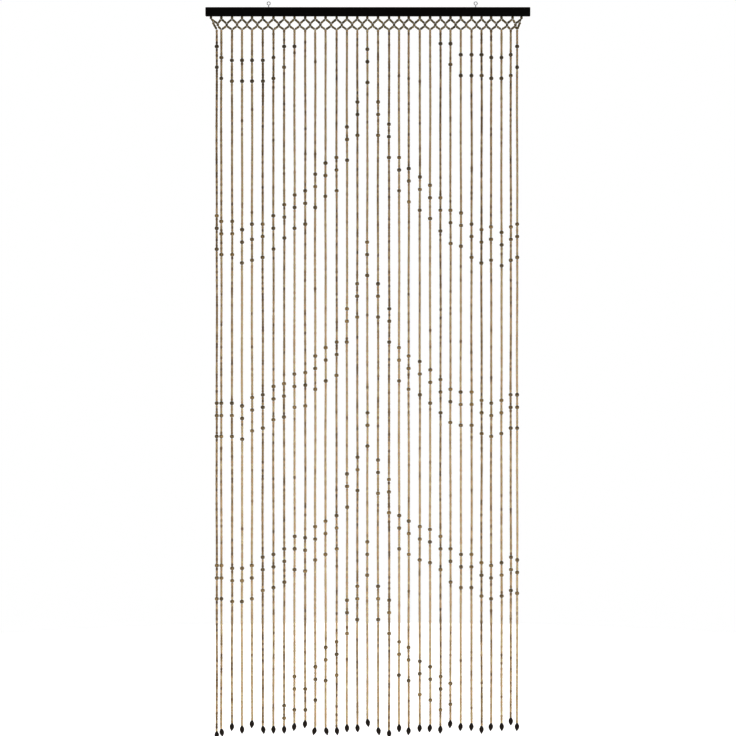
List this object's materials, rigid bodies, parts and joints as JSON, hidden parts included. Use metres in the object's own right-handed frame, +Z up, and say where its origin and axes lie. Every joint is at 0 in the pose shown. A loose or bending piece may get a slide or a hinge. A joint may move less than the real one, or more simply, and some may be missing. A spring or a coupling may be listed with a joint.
{
  "type": "bead curtain with hanging rail",
  "caption": "Doorway curtain of threaded wooden bead strands with pointed drops, hung from a net heading under a slim rail with two screw eyes.",
  "frame": {"origin": "over the middle of the rail, on the line through the centres of the two screw eyes", "axes": "+Z up along the strands, -Y towards the viewer, +X to the viewer's right along the rail"},
  "size_m": [0.9, 0.012, 2.046],
  "materials": {
    "rail_wood": "black-stained, satin",
    "eye_metal": "zinc-plated bent wire",
    "bead_wood": "turned beads, thin varnish",
    "drop_wood": "dark-stained turned drops, satin"
  },
  "bodies": {
    "root": {"rail": "rail_wood", "eye_left": "eye_metal", "eye_right": "eye_metal", "curtain": "bead_wood", "drop_01": "drop_wood", "drop_02": "drop_wood", "drop_03": "drop_wood", "drop_04": "drop_wood", "drop_05": "drop_wood", "drop_06": "drop_wood", "drop_07": "drop_wood", "drop_08": "drop_wood", "drop_09": "drop_wood", "drop_10": "drop_wood", "drop_11": "drop_wood", "drop_12": "drop_wood", "drop_13": "drop_wood", "drop_14": "drop_wood", "drop_15": "drop_wood", "drop_16": "drop_wood", "drop_17": "drop_wood", "drop_18": "drop_wood", "drop_19": "drop_wood", "drop_20": "drop_wood", "drop_21": "drop_wood", "drop_22": "drop_wood", "drop_23": "drop_wood", "drop_24": "drop_wood", "drop_25": "drop_wood", "drop_26": "drop_wood", "drop_27": "drop_wood", "drop_28": "drop_wood", "drop_29": "drop_wood", "drop_30": "drop_wood", "drop_31": "drop_wood"}
  },
  "joints": []
}
